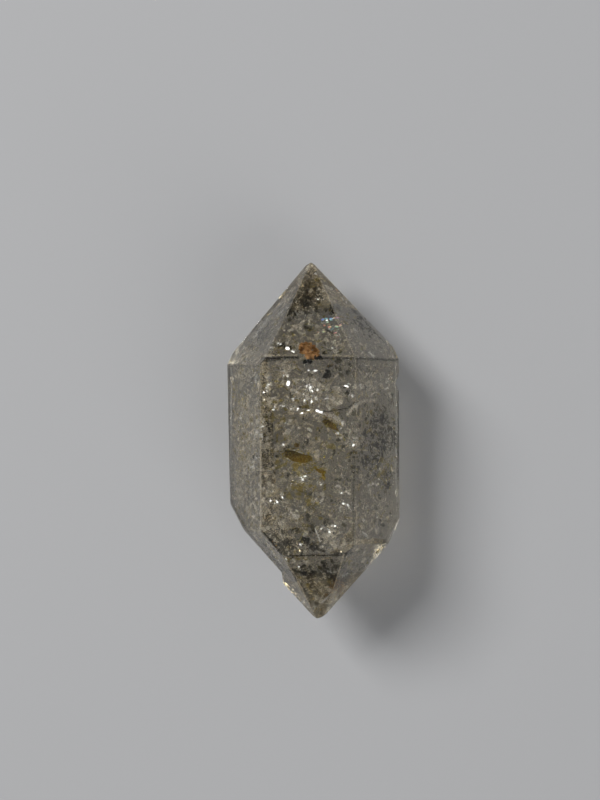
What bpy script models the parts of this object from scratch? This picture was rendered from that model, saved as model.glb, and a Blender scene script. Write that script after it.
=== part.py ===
"""Double terminated quartz crystal, lying on the prism face at its back.

Units are metres and +Z is up. The long axis of the crystal runs along Y, the sharper point
is at +Y, and the broad clean prism face looks straight up. The origin is under the middle of
the crystal, on the surface it lies on. The solid is a block cut by the flat faces that quartz
grows: six prism faces and six point faces at either end, each at its own distance from the
middle, as in a real crystal.
"""
import math
import random

import bmesh
import bpy
from mathutils import Matrix, Vector

MM = 0.001
NAME = "quartz_crystal"
BLOCK_SIZE = 60.0

# Angle between the long axis and the normal of a point face of quartz, in degrees
POINT_ANGLE = 51.8

# Prism faces. Turn is measured round the long axis from straight up towards +X, in degrees.
# Reach is the distance of the face from the long axis in millimetres. Lean is the small angle
# by which the face leaves the axis direction, positive where the crystal widens towards +Y.
PRISM_FACES = {
    "front": {"turn": 0.0, "reach": 6.33, "lean": 0.4},
    "right": {"turn": 60.0, "reach": 6.48, "lean": 1.3},
    "back_right": {"turn": 120.0, "reach": 6.13, "lean": -0.1},
    "back": {"turn": 180.0, "reach": 5.70, "lean": 0.0},
    "back_left": {"turn": 240.0, "reach": 6.01, "lean": 1.4},
    "left": {"turn": 299.3, "reach": 6.52, "lean": -0.4},
}

# Point faces. Peak is where the plane of the face would meet the long axis, in millimetres
# from the middle, and lean is added to the ideal angle of a point face.
UPPER_FACES = {
    "front": {"turn": 0.6, "peak": 14.96, "lean": 0.2},
    "right": {"turn": 60.0, "peak": 15.16, "lean": 0.1},
    "back_right": {"turn": 120.3, "peak": 15.30, "lean": -0.7},
    "back": {"turn": 180.0, "peak": 16.20, "lean": 0.0},
    "back_left": {"turn": 240.7, "peak": 15.92, "lean": 1.4},
    "left": {"turn": 300.5, "peak": 15.04, "lean": 1.3},
}
LOWER_FACES = {
    "front": {"turn": 0.0, "peak": 17.15, "lean": -0.3},
    "right": {"turn": 57.5, "peak": 16.92, "lean": 0.8},
    "back_right": {"turn": 120.0, "peak": 14.49, "lean": -0.3},
    "back": {"turn": 180.0, "peak": 15.70, "lean": 0.0},
    "back_left": {"turn": 240.2, "peak": 14.07, "lean": 0.0},
    "left": {"turn": 300.0, "peak": 15.88, "lean": 0.5},
}

# Narrow steep face between the right prism face and the upper right point face
STEEP_TURN = 60.0
STEEP_ANGLE = 84.0
STEEP_REACH = 7.25

# Blunted points: small worn faces, as turn, angle from the axis and the depth of sharp tip
# that each takes off, in millimetres
UPPER_TIP_WEAR = (
    (270.0, 22.0, 0.19),
    (78.0, 31.0, 0.11),
    (172.0, 27.0, 0.10),
    (352.0, 36.0, 0.10),
)
LOWER_TIP_WEAR = (
    (270.0, 7.0, 0.28),
    (270.0, 33.0, 0.19),
    (90.0, 22.0, 0.24),
    (90.0, 37.0, 0.12),
    (12.0, 26.0, 0.17),
    (188.0, 21.0, 0.24),
    (205.0, 38.0, 0.14),
)

# Worn edges: a narrow flat along each edge that is long enough to take one
WEAR_WIDTH_LOW = 0.09
WEAR_WIDTH_HIGH = 0.17
WEAR_SHORTEST_EDGE = 1.2
WEAR_SEED = 11

# Lower left ledge: a flat that takes off the corner, and stops short of the tip at a step
LEDGE_TURN = 261.0
LEDGE_ANGLE = 49.8
LEDGE_REACH = 8.66
LEDGE_FOOT = Vector((-2.38, -12.05, 0.0))
LEDGE_WALL_NORMAL = Vector((-0.93, 0.32, -0.18))

# V shaped nick in the right edge, from its deepest point and its two flanks
NICK_FLOOR = Vector((6.81, 4.84, 0.3))
NICK_UPPER_NORMAL = Vector((-0.78, 0.63, 0.30))
NICK_LOWER_NORMAL = Vector((-0.88, -0.48, 0.20))

# Long flake scar on the upper left ridge, a shallow scoop
FLAKE_MIDDLE = Vector((-3.81, 11.09, -0.60))
FLAKE_HALF_LENGTH = 7.6
FLAKE_HALF_WIDTH = 2.5
FLAKE_HALF_DEPTH = 1.0
FLAKE_BITE = 0.09
FLAKE_SHIFT = 0.90

# Shell shaped chips on edges and corners: place, radius of the scoop and how deep it bites
EDGE_CHIPS = (
    (Vector((6.89, 7.74, -0.30)), 0.75, 0.08),
    (Vector((-2.28, -9.27, 6.26)), 0.60, 0.09),
    (Vector((3.30, -8.86, 6.28)), 0.55, 0.06),
    (Vector((-3.65, 5.20, -5.70)), 0.90, 0.13),
    (Vector((3.79, -4.40, -5.70)), 0.80, 0.12),
    (Vector((3.79, 2.90, -5.70)), 0.55, 0.09),
    (Vector((-1.80, -9.40, -4.90)), 0.85, 0.14),
    (Vector((0.40, 13.05, -2.45)), 0.70, 0.07),
)

# Growth steps on the faces that look away: depth, a point on the step and its direction
GROWTH_STEPS = (
    ("upper_back_right", 0.14, Vector((3.9, 9.6, -2.4)), Vector((-0.35, -0.45, -0.80))),
    ("upper_back", 0.11, Vector((-0.6, 10.4, -4.8)), Vector((-0.80, -0.25, 0.10))),
    ("lower_back_right", 0.12, Vector((3.4, -10.4, -1.9)), Vector((0.10, 0.30, -0.95))),
    ("back_left", 0.10, Vector((-4.9, 1.6, -3.6)), Vector((0.00, -0.50, -0.87))),
)


def direction(turn, angle):
    """Unit normal of a face turned round the long axis and tipped from +Y by angle."""
    turn = math.radians(turn)
    angle = math.radians(angle)
    around = Vector((math.sin(turn), 0.0, math.cos(turn)))
    return around * math.sin(angle) + Vector((0.0, math.cos(angle), 0.0))


def crystal_planes():
    """All growth faces as name: (outward normal, distance from the middle in millimetres)."""
    planes = {}
    for side, face in PRISM_FACES.items():
        planes[side] = (direction(face["turn"], 90.0 + face["lean"]), face["reach"])
    for side, face in UPPER_FACES.items():
        angle = POINT_ANGLE + face["lean"]
        reach = face["peak"] * math.cos(math.radians(angle))
        planes["upper_" + side] = (direction(face["turn"], angle), reach)
    for side, face in LOWER_FACES.items():
        angle = POINT_ANGLE + face["lean"]
        reach = face["peak"] * math.cos(math.radians(angle))
        planes["lower_" + side] = (direction(face["turn"], 180.0 - angle), reach)
    planes["steep_right"] = (direction(STEEP_TURN, STEEP_ANGLE), STEEP_REACH)
    return planes


def tip_wear_planes(mesh):
    """Small worn faces that blunt the two sharp points of the mesh."""
    normals = [(direction(turn, angle), bite) for turn, angle, bite in UPPER_TIP_WEAR]
    normals += [(direction(turn, 180.0 - angle), bite) for turn, angle, bite in LOWER_TIP_WEAR]
    planes = []
    for normal, bite in normals:
        tip = max(normal.dot(vert.co) for vert in mesh.verts)
        planes.append((normal, tip - bite))
    return planes


def cut_away(mesh, normal, reach):
    """Take off what lies beyond a plane and close the cut with a flat face."""
    normal = normal.normalized()
    parts = mesh.verts[:] + mesh.edges[:] + mesh.faces[:]
    result = bmesh.ops.bisect_plane(
        mesh, geom=parts, plane_co=normal * reach, plane_no=normal, clear_outer=True
    )
    rim = [item for item in result["geom_cut"] if isinstance(item, bmesh.types.BMEdge)]
    if rim:
        bmesh.ops.contextual_create(mesh, geom=rim)


def block(planes):
    """A large cube, in millimetres, cut by the given planes."""
    mesh = bmesh.new()
    bmesh.ops.create_cube(mesh, size=BLOCK_SIZE)
    for normal, reach in planes:
        cut_away(mesh, normal, reach)
    return mesh


def edge_wear_planes(mesh):
    """A narrow flat along every long edge, each with its own width."""
    rng = random.Random(WEAR_SEED)
    planes = []
    for edge in mesh.edges:
        width = rng.uniform(WEAR_WIDTH_LOW, WEAR_WIDTH_HIGH)
        if edge.calc_length() < WEAR_SHORTEST_EDGE:
            continue
        first, second = (face.normal for face in edge.link_faces)
        normal = (first + second).normalized()
        middle = (edge.verts[0].co + edge.verts[1].co) * 0.5
        depth = 0.5 * width * math.tan(0.5 * first.angle(second))
        planes.append((normal, normal.dot(middle) - depth))
    return planes


def finish_object(mesh, name, offset):
    """Turn a bmesh in millimetres into an object in metres, moved by offset."""
    bmesh.ops.translate(mesh, verts=mesh.verts, vec=offset)
    bmesh.ops.scale(mesh, verts=mesh.verts, vec=Vector((MM, MM, MM)))
    bmesh.ops.recalc_face_normals(mesh, faces=mesh.faces)
    data = bpy.data.meshes.new(name)
    mesh.to_mesh(data)
    mesh.free()
    obj = bpy.data.objects.new(name, data)
    bpy.context.collection.objects.link(obj)
    return obj


def add_cut(body, mesh, name, offset):
    """Subtract a shape from the crystal with a Boolean modifier."""
    cutter = finish_object(mesh, name, offset)
    cutter.hide_render = True
    cutter.display_type = "WIRE"
    cut = body.modifiers.new(name, "BOOLEAN")
    cut.operation = "DIFFERENCE"
    cut.solver = "EXACT"
    cut.object = cutter


def ledge_cutter():
    """Wedge beyond the ledge's flat, ending at the step near the tip."""
    normal = direction(LEDGE_TURN, 180.0 - LEDGE_ANGLE)
    wall = LEDGE_WALL_NORMAL.normalized()
    return block([(-normal, -LEDGE_REACH), (-wall, -wall.dot(LEDGE_FOOT))])


def nick_cutter():
    """Wedge between the two flanks of the nick."""
    upper = NICK_UPPER_NORMAL.normalized()
    lower = NICK_LOWER_NORMAL.normalized()
    return block([(upper, upper.dot(NICK_FLOOR)), (lower, lower.dot(NICK_FLOOR))])


def flake_cutter(planes):
    """Long shallow ellipsoid laid on the upper left face, along its ridge."""
    left = planes["upper_left"][0]
    along = left.cross(planes["upper_back_left"][0]).normalized()
    across = left.cross(along).normalized()
    if across.z < 0.0:
        across = -across
    middle = FLAKE_MIDDLE + across * FLAKE_SHIFT + left * (FLAKE_HALF_DEPTH - FLAKE_BITE)
    mesh = bmesh.new()
    bmesh.ops.create_icosphere(mesh, subdivisions=5, radius=1.0)
    frame = Matrix((along * FLAKE_HALF_LENGTH, across * FLAKE_HALF_WIDTH, left * FLAKE_HALF_DEPTH))
    bmesh.ops.transform(mesh, matrix=frame.transposed().to_4x4(), verts=mesh.verts)
    bmesh.ops.translate(mesh, verts=mesh.verts, vec=middle)
    return mesh


def chip_cutter(place, radius, bite, axis_point):
    """Ball that bites a shell shaped chip out of an edge or a corner."""
    outward = (place - axis_point).normalized()
    mesh = bmesh.new()
    bmesh.ops.create_icosphere(mesh, subdivisions=3, radius=radius)
    bmesh.ops.translate(mesh, verts=mesh.verts, vec=place + outward * (radius - bite))
    return mesh


def step_cutter(plane, depth, point, side):
    """Slab that lowers one side of a face by a growth step."""
    normal, reach = plane
    side = (side - normal * side.dot(normal)).normalized()
    return block([(-normal, depth - reach), (-side, -side.dot(point))])


def crystal_material():
    """Clear smoky quartz with a faint warm grey cast."""
    material = bpy.data.materials.new("quartz")
    material.use_nodes = True
    shader = material.node_tree.nodes["Principled BSDF"]
    shader.inputs["Base Color"].default_value = (0.36, 0.34, 0.29, 1.0)
    shader.inputs["Metallic"].default_value = 0.0
    shader.inputs["Roughness"].default_value = 0.06
    shader.inputs["IOR"].default_value = 1.544
    shader.inputs["Transmission Weight"].default_value = 0.85
    return material


def make_crystal():
    """Cut the crystal, wear its edges, and take out the ledge, nick, chips and steps."""
    planes = crystal_planes()
    mesh = block(planes.values())
    for wear_planes in (tip_wear_planes, edge_wear_planes):
        mesh.normal_update()
        for normal, reach in wear_planes(mesh):
            cut_away(mesh, normal, reach)
    corners = [vert.co for vert in mesh.verts]
    low = Vector([min(co[i] for co in corners) for i in range(3)])
    high = Vector([max(co[i] for co in corners) for i in range(3)])
    offset = Vector((-0.5 * (low.x + high.x), -0.5 * (low.y + high.y), -low.z))
    body = finish_object(mesh, NAME, offset)
    body.data.materials.append(crystal_material())
    add_cut(body, ledge_cutter(), "cut_ledge", offset)
    add_cut(body, nick_cutter(), "cut_nick", offset)
    add_cut(body, flake_cutter(planes), "cut_flake", offset)
    for index, (face, depth, point, side) in enumerate(GROWTH_STEPS):
        add_cut(body, step_cutter(planes[face], depth, point, side), f"cut_step_{index}", offset)
    for index, (place, radius, bite) in enumerate(EDGE_CHIPS):
        axis_point = Vector((0.0, 0.6 * place.y, 0.0))
        cutter = chip_cutter(place, radius, bite, axis_point)
        add_cut(body, cutter, f"cut_chip_{index}", offset)
    return body


def main():
    for item in list(bpy.data.objects):
        bpy.data.objects.remove(item, do_unlink=True)
    make_crystal()


main()
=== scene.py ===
import math

import bmesh
import bpy
import numpy as np
from mathutils import Matrix, Vector, noise
from mathutils.bvhtree import BVHTree


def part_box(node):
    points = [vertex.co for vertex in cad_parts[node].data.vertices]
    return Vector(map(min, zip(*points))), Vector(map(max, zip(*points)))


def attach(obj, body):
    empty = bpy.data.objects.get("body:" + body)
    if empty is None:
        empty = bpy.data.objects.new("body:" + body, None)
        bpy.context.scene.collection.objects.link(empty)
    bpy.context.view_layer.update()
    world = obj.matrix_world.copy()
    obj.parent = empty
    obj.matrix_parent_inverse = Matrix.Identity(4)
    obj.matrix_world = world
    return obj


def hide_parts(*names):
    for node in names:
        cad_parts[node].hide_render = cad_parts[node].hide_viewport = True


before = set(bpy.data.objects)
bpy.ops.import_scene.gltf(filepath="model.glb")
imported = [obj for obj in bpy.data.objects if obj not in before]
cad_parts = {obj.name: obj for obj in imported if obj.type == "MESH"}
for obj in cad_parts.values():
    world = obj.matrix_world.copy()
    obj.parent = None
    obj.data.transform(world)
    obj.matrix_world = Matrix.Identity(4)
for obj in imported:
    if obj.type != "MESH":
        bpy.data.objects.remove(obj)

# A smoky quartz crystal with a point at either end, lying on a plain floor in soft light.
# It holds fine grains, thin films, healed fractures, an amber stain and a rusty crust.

# The scene is in metres, in the frame of the solids: +Y along the crystal, +Z up.
MM = 0.001
CRYSTAL_NODE = "quartz_crystal"
WELD = 0.001 * MM
PIXELS_PER_MM = 11.8

# Optics of quartz, and of the flakes along its healed fractures
QUARTZ_IOR = 1.544
QUARTZ_TINT = (0.68, 0.58, 0.34)
QUARTZ_DENSITY = 38.0
FLAKE_IOR = 1.75

# Low relief of the growth faces, in millimetres: longest edge of a facet, heights, and lumps of
# noise. Striations, at radians to a millimetre, stand where the normal leans along the crystal
# by less than PRISM_LEAN.
RELIEF_STEP = 0.35
MOST_HALVINGS = 9
DRIFT_SIZE = 3.0
HILLOCK_HEIGHT = 0.01
HILLOCK_SIZES = (1.7, 0.8)
STRIATION_HEIGHT = 0.0035
STRIATION_RATES = (11.0, 4.3)
PRISM_LEAN = 0.15

# In degrees: relief lies between edges flatter than the first, shading breaks at the second
FLAT_ANGLE = 2.0
SHARP_ANGLE = 4.0

# Surfaces: scales of noise in lumps to a metre, and how dull the dull spots of clear faces are
POLISH_SCALE = 900.0
POLISH_STOPS = ((0.45, (0.0, 0.0, 0.0)), (0.75, (0.09, 0.09, 0.09)))
BUMP_SCALE = 2500.0
BUMP_STRENGTH = 0.25
BUMP_HEIGHT = 0.02 * MM
FLAKE_SCALE = 4000.0
FLAKE_STOPS = ((0.4, (0.0, 0.0, 0.0)), (0.7, (0.25, 0.25, 0.25)))
GRAIN_SCALE = 2500.0
GRAIN_ROUGHNESS = 0.5
GRAIN_SPECULAR = 0.02
FILM_SCALE = 1600.0
TONE_STOPS = (0.35, 0.65)

# The camera: place, turn, tilt and roll in degrees, and a long lens
CAMERA_PLACE = Vector((11.121, 0.881, 166.367)) * MM
CAMERA_TURN = 4.37
CAMERA_TILT = 0.87
CAMERA_ROLL = -0.83
SENSOR = 36.0
LENS = 85.5
PHOTO_WIDTH = 600
PHOTO_HEIGHT = 800
FOCAL_PIXELS = LENS / SENSOR * PHOTO_HEIGHT

# The floor, in metres: it lies a little under the crystal and bends up into a low wall
FLOOR_GAP = 0.03 * MM
FLOOR_RADIUS = 1.2
FLOOR_BEND = 0.35
FLOOR_BEND_STEPS = 12
FLOOR_WALL = 0.1
FLOOR_SIDES = 96
FLOOR_COLOUR = (0.36, 0.36, 0.364)

# The studio: an even room and two lights. Behind a face turned to the key light by more than
# KEY_COSINE the flats mirror that one, and behind the others the fill light.
WORLD_COLOUR = (0.8, 0.82, 0.85)
WORLD_STRENGTH = 0.37
KEY_PLACE = Vector((-0.36, 0.3, 0.52))
KEY_SIZE = (0.3, 0.3)
KEY_POWER = 5.1
FILL_PLACE = Vector((0.3, -0.42, 0.36))
FILL_SIZE = (0.35, 0.35)
FILL_POWER = 1.1
KEY_COSINE = 0.35

# What is clear has no colour of its own; each grain lies between its two tones
CLEAR = (1.0, 1.0, 1.0, 1.0)
WHITE = ((0.85, 0.84, 0.8), (0.97, 0.96, 0.93))
PALE = ((0.5, 0.43, 0.32), (0.88, 0.8, 0.65))
DARK = ((0.001, 0.001, 0.001), (0.014, 0.013, 0.01))
BLACK = ((0.0005, 0.0004, 0.0003), (0.004, 0.003, 0.002))
OLIVE = ((0.25, 0.22, 0.08), (0.5, 0.44, 0.19))
AMBER = ((0.26, 0.19, 0.01), (0.52, 0.4, 0.03))
BROWN = ((0.2, 0.085, 0.01), (0.55, 0.27, 0.05))

# Thin films let light through: two tones for each, the share that passes, and the slot
FILMS = {
    "pale": (((0.8, 0.76, 0.66), (0.97, 0.94, 0.86)), 0.75, "veil"),
    "dark": (((0.2, 0.2, 0.17), (0.52, 0.5, 0.45)), 0.97, "dark_inclusion"),
    "olive": (((0.6, 0.51, 0.2), (0.86, 0.78, 0.46)), 0.9, "iron_stain"),
    "amber": (((0.6, 0.5, 0.06), (0.82, 0.72, 0.18)), 0.9, "iron_stain"),
    "brown": (((0.4, 0.24, 0.06), (0.7, 0.5, 0.22)), 0.88, "iron_stain"),
}

# Room for the inclusions. None is placed where a ray, from a nudge in millimetres below the
# face, crosses less quartz than the thin path, or deeper than a share of what it crosses.
# Grains and films need the least room round their middle, and fill a share of it at most.
NUDGE = 0.01
THIN_PATH = 0.14 * MM
PATH_SHARE = 0.5
LEAST_ROOM = 0.03 * MM
ROOM_SHARE = 0.8

# Fine grains and films all through the crystal, in drifting clouds with lumps of two sizes in
# millimetres: how many are tried, the seed, and how much thicker they stand towards +X. A
# place is kept where the noise is above a random number from the haze range. The pale ones
# stand thicker towards -X and the dark ones towards +X: painted light on the left side of the
# crystal and painted shade on its right side.
HAZE_MARGIN = 0.5 * MM
HALF_WIDTH = 7.0 * MM
HAZE_RANGE = (-0.25, 0.25)
GRAIN_DRIFTS = (2.0, 0.5)
FILM_DRIFTS = (2.6, 0.9)
FINE_DRIFT_SHARE = 0.7
GRAIN_HAZE = (
    ("pale_haze", 24000, 5, -0.6, PALE, "veil"),
    ("dark_haze", 9500, 7, 0.7, DARK, "dark_inclusion"),
)
FILM_HAZE = (("pale", 4600, 61, -0.75), ("dark", 800, 62, 0.45), ("olive", 1300, 63, -0.45))

# Half widths in millimetres, and the pixels that one grain or film covers on average
FINE_SIZE = (0.026, 0.055)
FINE_COVER = 0.2
FILM_SIZE = (0.08, 0.5)
FILM_COVER = 9.5

# The shape of films: sides, how ragged the rim is, and width and thickness by the half length
FILM_SIDES = 8
FILM_RAGGED = 0.6
FILM_WIDTHS = (0.25, 1.0)
FILM_THICKNESS = 0.04

# How full clouds and lines are. Films lie in layers with some grains among them, and noise in
# lumps of the clump size, in millimetres, thins the clouds. The spreads are by the half width
# of a cloud or the width of a line.
CLOUD_SEED = 41
CLOUD_STRENGTH = 1.6
CLOUD_SPREAD = 0.5
FILM_LAYERS = 3.4
FILM_GRAINS = 0.15
CLUMP_SIZE = 0.4
CLUMP_RANGE = (-0.55, 0.35)
LINE_STRENGTH = 1.5
LINE_SPREAD = 0.32
LINE_DEPTHS = (0.8, 1.2)

# The depths in the tables of clouds and of bright fractures are taken times these shares
DEPTH_SHARE = 0.45
GLINT_SHARE = 0.2

# Healed fractures: curved sheets of clear flakes, placed at random. Radius, room and the half
# length of a flake are in millimetres. A sheet's width, waves in radians and rise are by its
# radius, and a flake's width and thickness by its half length.
VEIL_SEED = 31
VEIL_COUNT = 45
VEIL_RADIUS = (0.7, 2.6)
VEIL_WIDTHS = (0.35, 1.0)
VEIL_WAVES = (1.0, 2.5)
VEIL_RISE = 0.12
VEIL_CENTRE_ROOM = 0.8
VEIL_ROOM = 0.25
VEIL_FLAKES = 110
FLAKE_SIZE = (0.045, 0.18)
FLAKE_SIZE_POWER = 1.5
FLAKE_WIDTHS = (0.4, 1.0)
FLAKE_THICKNESS = 0.16
FLAKE_JITTER = 0.1
FLAKE_SIDES = 6
FLAKE_RAGGED = 0.35

# Clouds of grains seen in the photo: pixel, half width and half height in pixels, turn
# anticlockwise in degrees, nearest and furthest depth in millimetres, and the share covered
PALE_CLOUDS = (
    (284, 367, 17, 9, 0, 0.5, 2, 0.35), (297, 393, 10, 7, 0, 0.5, 2, 0.5),
    (316, 385, 7, 10, 0, 0.5, 2, 0.4), (334, 401, 18, 8, 8, 0.6, 3, 0.4),
    (341, 392, 9, 7, 0, 0.5, 2, 0.35), (330, 419, 9, 5, -25, 0.5, 2, 0.4),
    # Painted light: the six clouds on the next three lines make the left prism face lighter
    (244, 375, 13, 12, 0, 0.3, 2, 0.45), (237, 430, 7, 38, 0, 0.3, 1.4, 0.95),
    (251, 430, 9, 38, 0, 0.3, 1.4, 0.9), (242, 466, 12, 22, 0, 0.3, 1.4, 0.9),
    (252, 512, 8, 20, 0, 0.3, 2, 0.6), (240, 500, 8, 18, 0, 0.3, 1.5, 0.5),
    (311, 270, 7, 7, 0, 0.2, 1.2, 0.5), (321, 297, 6, 7, -30, 0.4, 1.5, 0.5),
    (334, 296, 11, 6, -45, 0.2, 1.5, 0.45), (337, 344, 12, 8, 0, 0.4, 2, 0.35),
    (303, 324, 10, 7, 20, 0.4, 2, 0.25), (300, 340, 20, 12, 0, 0.4, 3, 0.15),
    (350, 438, 14, 12, 0, 0.8, 3, 0.25), (388, 365, 10, 6, 0, 0.3, 1.5, 0.3),
    (372, 385, 18, 12, 0, 0.3, 2, 0.25), (333, 538, 13, 13, 0, 0.5, 3, 0.4),
    (287, 516, 20, 14, 0, 0.5, 4, 0.25), (316, 498, 6, 8, 0, 0.4, 1.5, 0.4),
    (341, 488, 8, 8, 0, 0.4, 2, 0.35), (303, 561, 16, 5, 0, 0.3, 1.5, 0.35),
    (325, 590, 8, 14, 0, 0.2, 1.5, 0.25), (375, 515, 30, 14, 62, 0.3, 2, 0.2),
    (320, 455, 20, 20, 0, 1, 5, 0.12), (255, 540, 8, 5, -40, 0.2, 1, 0.4),
    (360, 540, 6, 14, 0, 0.2, 1.5, 0.3), (266, 450, 6, 80, 0, 0.6, 2, 0.1),
)
DARK_CLOUDS = (
    (308, 301, 14, 16, 0, 0.4, 2, 0.85), (331, 309, 3, 6, 20, 0.3, 1, 0.85),
    (290, 312, 9, 9, 0, 0.3, 1.5, 0.5), (307, 326, 6, 5, 0, 0.4, 2, 0.4),
    (281, 346, 12, 6, 0, 0.3, 1.5, 0.35), (262, 338, 18, 9, 50, 0.3, 1.6, 0.8),
    (362, 326, 20, 8, -45, 0.3, 1.6, 0.55), (325, 345, 8, 9, 0, 0.5, 2, 0.2),
    (345, 368, 11, 11, 0, 0.4, 2, 0.28), (326, 375, 8, 12, 0, 0.4, 2, 0.25),
    # In the right prism face: its dark smudges, and painted shade over the face
    (385, 430, 14, 24, 0, 0.3, 2.2, 0.45), (378, 446, 8, 7, 0, 0.3, 1.5, 0.7),
    (391, 440, 7, 14, 0, 0.3, 1.5, 0.6), (383, 415, 12, 10, 0, 0.3, 2, 0.4),
    (375, 475, 22, 18, 0, 0.3, 3, 0.22), (366, 460, 10, 10, 0, 0.3, 2, 0.3),
    (345, 391, 6, 4, 0, 0.4, 1, 0.35), (284, 546, 14, 8, -20, 0.3, 1.5, 0.45),
    # Round the lower point: its dark mottles, and painted shade that darkens that end
    (318, 547, 8, 9, 0, 0.5, 2.5, 0.45), (310, 572, 20, 7, -8, 0.3, 1.5, 0.7),
    (329, 567, 13, 9, 0, 0.3, 2, 0.55), (350, 574, 10, 6, 40, 0.3, 1.2, 0.6),
    (316.4, 603.3, 2.5, 3, -30, 0.2, 0.6, 0.9), (264, 552, 9, 4, -42, 0.2, 0.8, 0.6),
    (339, 580, 12, 10, 50, 0.2, 1.2, 0.9), (360, 565, 12, 7, 60, 0.2, 1.2, 0.4),
    # The wide cloud from (378, 440) is painted shade over the right prism face
    (378, 440, 18, 60, 0, 0.3, 2.5, 0.22), (300, 596, 14, 6, -60, 0.2, 1, 0.2),
    (250, 380, 6, 10, 0, 0.3, 1.5, 0.25), (300, 540, 30, 14, 0, 1, 4, 0.2),
    (310, 287, 9, 11, 0, 0.4, 2, 0.5),
)
BLACK_CLOUDS = (
    (307.5, 362.4, 5, 2.4, 15, 0.4, 0.6, 0.6), (303, 573, 9, 2.5, -10, 0.2, 0.8, 0.6),
    (384, 447, 12, 4, 0, 0.3, 1, 0.35),
)
OLIVE_CLOUDS = (
    (243, 401, 7, 9, 0, 0.3, 1, 0.5), (234, 388, 4, 14, 0, 0.3, 1, 0.35),
    (244, 440, 8, 40, 0, 0.3, 1.2, 0.22), (300, 490, 14, 14, 0, 1, 4, 0.22),
    (311, 505, 7, 9, 0, 0.5, 2, 0.4), (290, 400, 25, 20, 0, 2, 6, 0.06),
    (275, 420, 14, 25, 0, 1, 5, 0.08), (300, 465, 22, 10, 0, 1, 3, 0.2),
    (378, 465, 16, 25, 0, 0.3, 2, 0.28), (388, 470, 8, 12, 0, 0.3, 2, 0.3),
)
AMBER_CLOUDS = (
    (298, 456.5, 17, 7.5, -5, 0.35, 0.7, 0.6), (287, 456, 6, 6, 0, 0.35, 0.7, 0.5),
    (311, 460.5, 7, 5, -20, 0.35, 0.7, 0.4), (320, 469.5, 7, 4, -12, 0.35, 0.8, 0.45),
    (323.6, 477, 3.5, 6.5, 0, 0.35, 0.8, 0.55), (330.5, 423.5, 8, 4.5, -38, 0.35, 0.7, 0.6),
)
BROWN_CLOUDS = (
    (296.5, 445.3, 3, 3, 0, 0.5, 1, 0.7), (329.5, 424.5, 7, 3.4, -40, 0.6, 1.1, 0.9),
    (233, 492, 2.6, 16, 0, 0.1, 0.5, 0.25), (241, 514, 3, 6, 0, 0.1, 0.5, 0.2),
    (276, 549, 9, 2.5, -47, 0.1, 0.5, 0.5), (320.8, 610, 2, 1.5, 0, 0.1, 0.3, 0.8),
    (338, 586, 11, 9, 45, 0.2, 0.9, 0.8), (331, 364, 2.2, 3.5, 0, 0.3, 1, 0.6),
)

# Lines of grains: fractures and streaks, with painted light and shade: many white grains are
# painted glints, the pale lines along the edges painted highlights, and the dark lines along
# the edges and outlines painted shade. Width in pixels, depth in millimetres, the share
# covered, and the pixels that the line runs through
WHITE_LINES_AND_PAINTED_GLINTS = (
    # Painted glints: white grains where bright glints show
    (2.2, 0.35, 0.9, ((368.6, 351.6), (374.4, 357))),
    (1.8, 0.3, 0.8, ((341.8, 298), (343.6, 299.4))),
    (1.6, 0.3, 0.8, ((345.8, 300.6), (347, 302.6))),
    (1.6, 0.3, 0.6, ((353.6, 328.8), (357.4, 331.8))),
    # White fractures
    (2.2, 0.3, 0.3, ((347, 415), (352, 408.5), (358, 403.5), (366, 400.5), (377, 400))),
    (2.4, 0.3, 0.25, ((322, 414), (331, 415.5), (337, 419), (346, 424))),
    # Painted reflection on the scar by the upper left edge
    (2.6, 0.2, 0.6, ((269.5, 317.5), (262, 327), (253, 338))),
    (2, 0.2, 0.5, ((283.5, 309.5), (276, 317))),
    # Mostly painted glints: white grains where bright glints show
    (1.8, 0.5, 0.65, ((257, 374), (255, 379), (256.5, 383))),
    (1.6, 0.4, 0.7, ((241, 412), (240.5, 418), (242, 421))),
    (1.5, 0.4, 0.6, ((257, 428), (255, 435), (253.5, 440))),
    (1.5, 0.4, 0.7, ((259.5, 434), (262.5, 437.5))),
    (1.4, 0.4, 0.7, ((249.5, 464.5), (250.5, 468.5))),
    (1.4, 0.4, 0.7, ((252.8, 461), (253.6, 468))),
    (1.5, 0.5, 0.6, ((360, 384), (361, 390))),
    (2, 0.5, 0.7, ((386, 378), (388, 382))),
    (2, 0.5, 0.7, ((389, 393), (391.5, 398))),
    # A white line above the amber stain
    (1, 2, 0.6, ((293.7, 449.8), (298.8, 452.4), (303.9, 453.6))),
    # Mostly painted glints: white grains where bright glints show
    (1.3, 0.5, 0.8, ((314.9, 528.5), (317.8, 535), (320.4, 542.4))),
    (1.3, 0.4, 0.8, ((290.5, 557), (294, 560.5))),
    (2, 0.4, 0.75, ((342, 577), (348, 573.5))),
    (1.5, 0.4, 0.5, ((327, 571), (332, 572.5))),
    (1.3, 0.3, 0.8, ((362, 532), (366, 534), (368, 538))),
    (1.2, 0.5, 0.6, ((344, 503.5), (348, 506), (351.5, 511))),
)
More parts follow.
